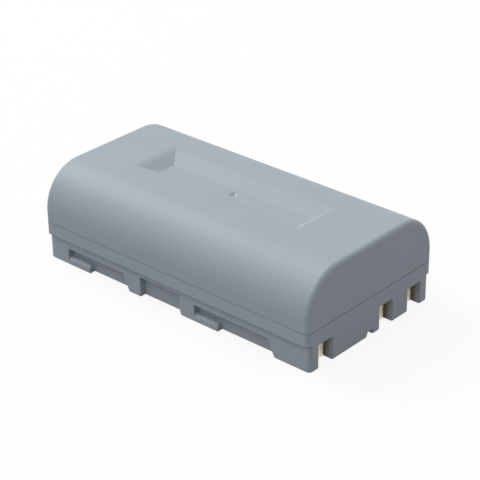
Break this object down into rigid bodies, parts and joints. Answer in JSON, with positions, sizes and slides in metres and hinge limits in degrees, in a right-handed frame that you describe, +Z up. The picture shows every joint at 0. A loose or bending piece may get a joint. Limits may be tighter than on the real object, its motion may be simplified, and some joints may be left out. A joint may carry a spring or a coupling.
{
  "type": "handheld terminal battery",
  "caption": "Slim rechargeable battery pack with rounded shoulders, a shallow top recess, hooked rail slots along its sides and contact notches at one end.",
  "frame": {"origin": "centre of the flat underside", "axes": "+X along the cells towards the contact end, +Y across, +Z up from the underside to the recessed top"},
  "size_m": [0.0708, 0.0384, 0.0205],
  "materials": {
    "case_plastic": "fine moulded grain with a slight sheen",
    "contact_plating": "pale satin plating",
    "can_steel": "nickel-plated, satin",
    "cap_steel": "nickel-plated, satin",
    "nickel_strip": "rolled nickel, satin",
    "gasket": "matt",
    "washer_paper": "matt",
    "shrink_sleeve": "smooth film",
    "insulator_card": "matt",
    "lead_tube": "smooth film",
    "board": "coated glass laminate",
    "chip_body": "moulded epoxy",
    "resistor_body": "glazed top",
    "capacitor_body": "matt",
    "sensor_body": "matt",
    "adhesive": "cured silicone"
  },
  "bodies": {
    "root": {"upper_case": "case_plastic", "lower_case": "case_plastic", "left_cell_can": "can_steel", "left_cell_cap": "cap_steel", "left_cell_gasket": "gasket", "left_cell_washer": "washer_paper", "left_cell_sleeve": "shrink_sleeve", "right_cell_can": "can_steel", "right_cell_cap": "cap_steel", "right_cell_gasket": "gasket", "right_cell_washer": "washer_paper", "right_cell_sleeve": "shrink_sleeve", "series_strip": "nickel_strip", "positive_tab": "nickel_strip", "negative_tab": "nickel_strip", "midpoint_lead": "nickel_strip", "midpoint_insulation": "lead_tube", "rear_insulator": "insulator_card", "front_insulator": "insulator_card", "circuit_board": "board", "protection_chip": "chip_body", "switching_transistors": "chip_body", "chip_resistors": "resistor_body", "chip_capacitors": "capacitor_body", "thermistor": "sensor_body", "negative_contact": "contact_plating", "signal_contact": "contact_plating", "positive_contact": "contact_plating", "adhesive_bead": "adhesive"}
  },
  "joints": []
}
